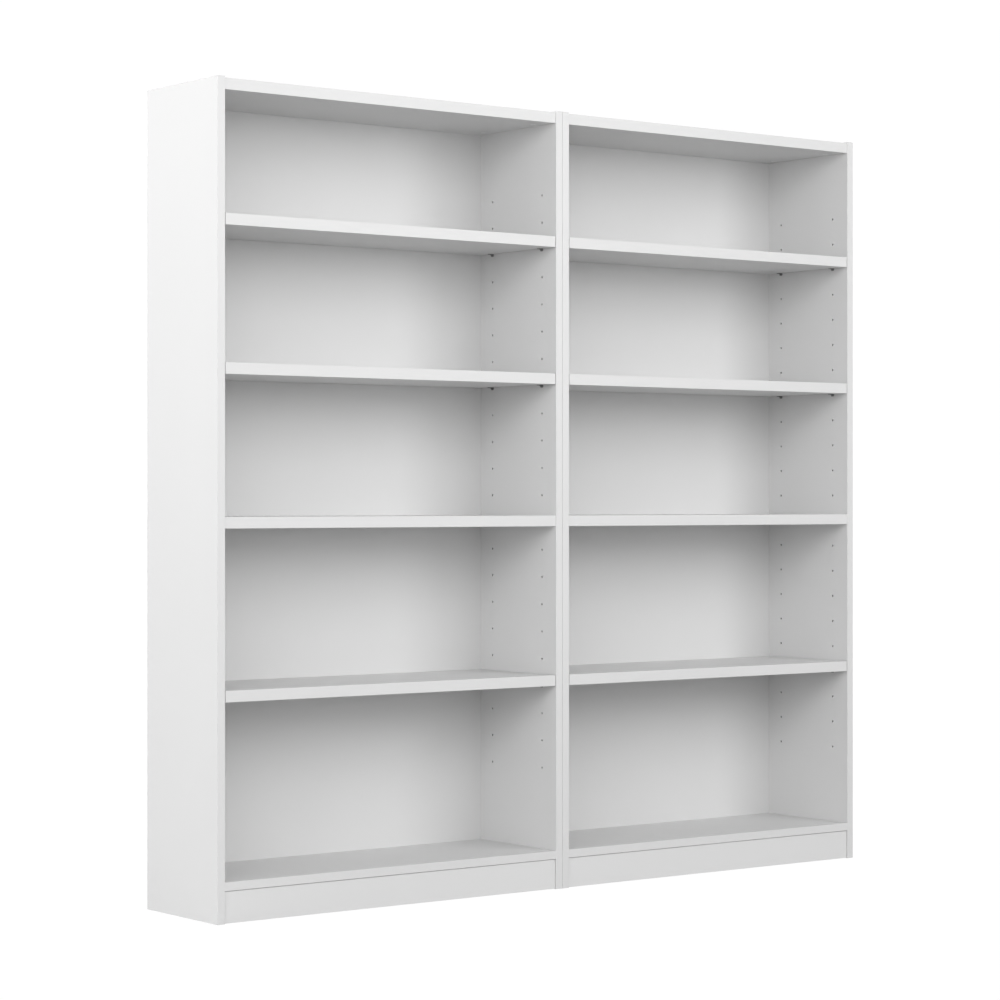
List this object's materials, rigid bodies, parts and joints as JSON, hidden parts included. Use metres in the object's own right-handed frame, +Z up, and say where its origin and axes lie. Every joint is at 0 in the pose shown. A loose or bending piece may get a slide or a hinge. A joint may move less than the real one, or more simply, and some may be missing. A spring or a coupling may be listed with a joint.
{
  "type": "bookcase with adjustable shelves",
  "caption": "Pair of tall open bookcases side by side, each with a fixed middle shelf, loose shelves on pull-out pins, a plinth and a thin back.",
  "frame": {"origin": "middle of the pair's footprint on the floor, at the joint between the two bookcases", "axes": "+X to the right seen from the front, +Y to the back, +Z up"},
  "size_m": [1.8846, 0.296, 1.816],
  "materials": {
    "faced_board": "white melamine facing on particleboard, satin",
    "edge_band": "white plastic edge strip, satin",
    "hardboard": "white lacquered front on brown hardboard",
    "pin_nickel": "dark nickel plate",
    "cam_zinc": "plated zinc casting",
    "bolt_steel": "plated steel",
    "dowel_wood": "raw beech",
    "nail_steel": "zinc-plated steel"
  },
  "bodies": {
    "carcass": {"left_outer_side": "faced_board", "left_outer_side_band": "edge_band", "left_inner_side": "faced_board", "left_inner_side_band": "edge_band", "left_top": "faced_board", "left_top_band": "edge_band", "left_fixed_shelf": "faced_board", "left_fixed_shelf_band": "edge_band", "left_base": "faced_board", "left_base_band": "edge_band", "left_kick_plate": "faced_board", "left_back_panel": "hardboard", "left_cam_locks": "cam_zinc", "left_cam_bolts": "bolt_steel", "left_dowels": "dowel_wood", "left_back_nails": "nail_steel", "right_outer_side": "faced_board", "right_outer_side_band": "edge_band", "right_inner_side": "faced_board", "right_inner_side_band": "edge_band", "right_top": "faced_board", "right_top_band": "edge_band", "right_fixed_shelf": "faced_board", "right_fixed_shelf_band": "edge_band", "right_base": "faced_board", "right_base_band": "edge_band", "right_kick_plate": "faced_board", "right_back_panel": "hardboard", "right_cam_locks": "cam_zinc", "right_cam_bolts": "bolt_steel", "right_dowels": "dowel_wood", "right_back_nails": "nail_steel"},
    "left_upper_shelf": {"left_upper_shelf": "faced_board", "left_upper_shelf_band": "edge_band"},
    "left_upper_pins_left": {"left_upper_pins_left": "pin_nickel"},
    "left_upper_pins_right": {"left_upper_pins_right": "pin_nickel"},
    "left_second_shelf": {"left_second_shelf": "faced_board", "left_second_shelf_band": "edge_band"},
    "left_second_pins_left": {"left_second_pins_left": "pin_nickel"},
    "left_second_pins_right": {"left_second_pins_right": "pin_nickel"},
    "left_lower_shelf": {"left_lower_shelf": "faced_board", "left_lower_shelf_band": "edge_band"},
    "left_lower_pins_left": {"left_lower_pins_left": "pin_nickel"},
    "left_lower_pins_right": {"left_lower_pins_right": "pin_nickel"},
    "right_upper_shelf": {"right_upper_shelf": "faced_board", "right_upper_shelf_band": "edge_band"},
    "right_upper_pins_left": {"right_upper_pins_left": "pin_nickel"},
    "right_upper_pins_right": {"right_upper_pins_right": "pin_nickel"},
    "right_second_shelf": {"right_second_shelf": "faced_board", "right_second_shelf_band": "edge_band"},
    "right_second_pins_left": {"right_second_pins_left": "pin_nickel"},
    "right_second_pins_right": {"right_second_pins_right": "pin_nickel"},
    "right_lower_shelf": {"right_lower_shelf": "faced_board", "right_lower_shelf_band": "edge_band"},
    "right_lower_pins_left": {"right_lower_pins_left": "pin_nickel"},
    "right_lower_pins_right": {"right_lower_pins_right": "pin_nickel"}
  },
  "joints": [
    {"name": "left_upper_shelf_lift", "type": "slide", "parent": "carcass", "child": "left_upper_shelf", "axis": [0, 0, 1], "range_m": [0, 0.262]},
    {"name": "left_upper_pins_left_pull", "type": "slide", "parent": "carcass", "child": "left_upper_pins_left", "axis": [1, 0, 0], "range_m": [0, 0.009]},
    {"name": "left_upper_pins_right_pull", "type": "slide", "parent": "carcass", "child": "left_upper_pins_right", "axis": [-1, 0, 0], "range_m": [0, 0.009]},
    {"name": "left_second_shelf_lift", "type": "slide", "parent": "carcass", "child": "left_second_shelf", "axis": [0, 0, 1], "range_m": [0, 0.286]},
    {"name": "left_second_pins_left_pull", "type": "slide", "parent": "carcass", "child": "left_second_pins_left", "axis": [1, 0, 0], "range_m": [0, 0.009]},
    {"name": "left_second_pins_right_pull", "type": "slide", "parent": "carcass", "child": "left_second_pins_right", "axis": [-1, 0, 0], "range_m": [0, 0.009]},
    {"name": "left_lower_shelf_lift", "type": "slide", "parent": "carcass", "child": "left_lower_shelf", "axis": [0, 0, 1], "range_m": [0, 0.345]},
    {"name": "left_lower_pins_left_pull", "type": "slide", "parent": "carcass", "child": "left_lower_pins_left", "axis": [1, 0, 0], "range_m": [0, 0.009]},
    {"name": "left_lower_pins_right_pull", "type": "slide", "parent": "carcass", "child": "left_lower_pins_right", "axis": [-1, 0, 0], "range_m": [0, 0.009]},
    {"name": "right_upper_shelf_lift", "type": "slide", "parent": "carcass", "child": "right_upper_shelf", "axis": [0, 0, 1], "range_m": [0, 0.262]},
    {"name": "right_upper_pins_left_pull", "type": "slide", "parent": "carcass", "child": "right_upper_pins_left", "axis": [1, 0, 0], "range_m": [0, 0.009]},
    {"name": "right_upper_pins_right_pull", "type": "slide", "parent": "carcass", "child": "right_upper_pins_right", "axis": [-1, 0, 0], "range_m": [0, 0.009]},
    {"name": "right_second_shelf_lift", "type": "slide", "parent": "carcass", "child": "right_second_shelf", "axis": [0, 0, 1], "range_m": [0, 0.286]},
    {"name": "right_second_pins_left_pull", "type": "slide", "parent": "carcass", "child": "right_second_pins_left", "axis": [1, 0, 0], "range_m": [0, 0.009]},
    {"name": "right_second_pins_right_pull", "type": "slide", "parent": "carcass", "child": "right_second_pins_right", "axis": [-1, 0, 0], "range_m": [0, 0.009]},
    {"name": "right_lower_shelf_lift", "type": "slide", "parent": "carcass", "child": "right_lower_shelf", "axis": [0, 0, 1], "range_m": [0, 0.345]},
    {"name": "right_lower_pins_left_pull", "type": "slide", "parent": "carcass", "child": "right_lower_pins_left", "axis": [1, 0, 0], "range_m": [0, 0.009]},
    {"name": "right_lower_pins_right_pull", "type": "slide", "parent": "carcass", "child": "right_lower_pins_right", "axis": [-1, 0, 0], "range_m": [0, 0.009]}
  ]
}
